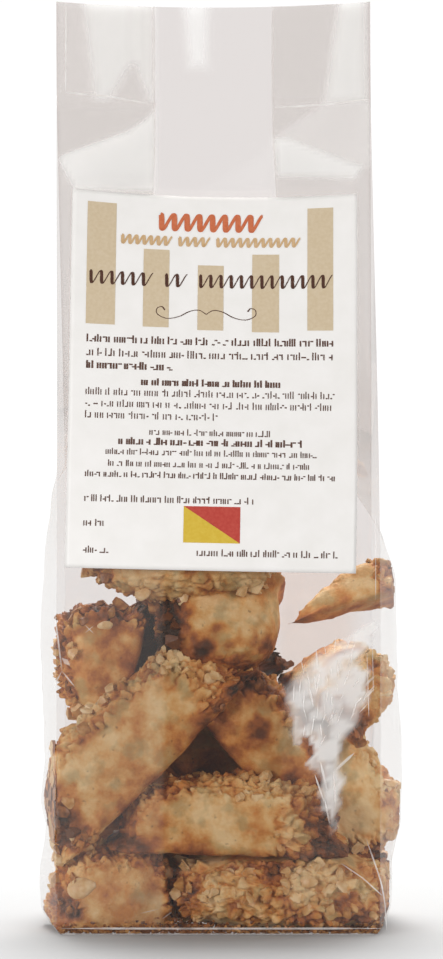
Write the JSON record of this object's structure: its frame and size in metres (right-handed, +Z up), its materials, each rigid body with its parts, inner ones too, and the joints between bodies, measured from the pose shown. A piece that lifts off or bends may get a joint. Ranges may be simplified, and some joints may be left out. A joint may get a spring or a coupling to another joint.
{
  "type": "clear bag of almond cookies",
  "caption": "Clear side-gusset film bag standing on its flat base, filled with oval almond cookies, with a paper label on the front.",
  "frame": {"origin": "centre of the bounding box, on the surface that the bag stands on", "axes": "+Z up along the bag, -Y out of the front with the label, +X to the right as seen from the front"},
  "size_m": [0.092, 0.055, 0.2344],
  "materials": {
    "clear_film": "gloss",
    "label_paper": "satin",
    "baked_cookie": "matte",
    "almond": "matte"
  },
  "bodies": {
    "root": {"bag": "clear_film", "label": "label_paper"}
  },
  "joints": []
}
